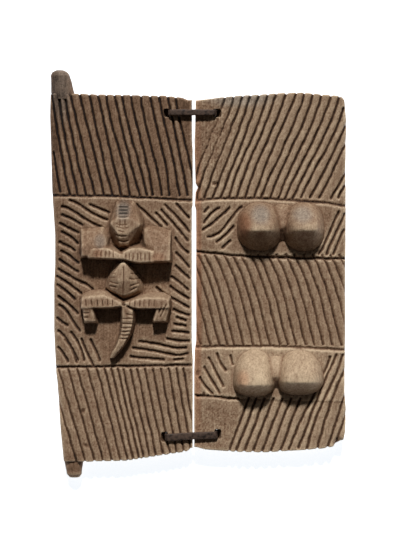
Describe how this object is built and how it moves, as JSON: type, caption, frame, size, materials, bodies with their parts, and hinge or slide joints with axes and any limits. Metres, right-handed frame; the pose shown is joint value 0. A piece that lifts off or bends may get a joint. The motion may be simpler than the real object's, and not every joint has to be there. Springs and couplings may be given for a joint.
{
  "type": "carved granary door",
  "caption": "Small hardwood plank door on pivot posts, carved with grooves, a figure and bosses, its planks joined by iron staples.",
  "frame": {"origin": "middle of the door's back, in the plane that it lies on", "axes": "+Y up the door towards its long pivot post, +Z out of the carved face, +X across from the pivot plank to the second plank"},
  "size_m": [0.4164, 0.5732, 0.07],
  "materials": {
    "weathered_hardwood": "dry weathered hardwood, tool-cut and worn, dark brown in the cuts and tan on the ridges",
    "forged_iron": "dark forged iron, rubbed along its edges"
  },
  "bodies": {
    "root": {"left_plank": "weathered_hardwood", "right_plank": "weathered_hardwood", "top_staple": "forged_iron", "bottom_staple": "forged_iron"}
  },
  "joints": []
}
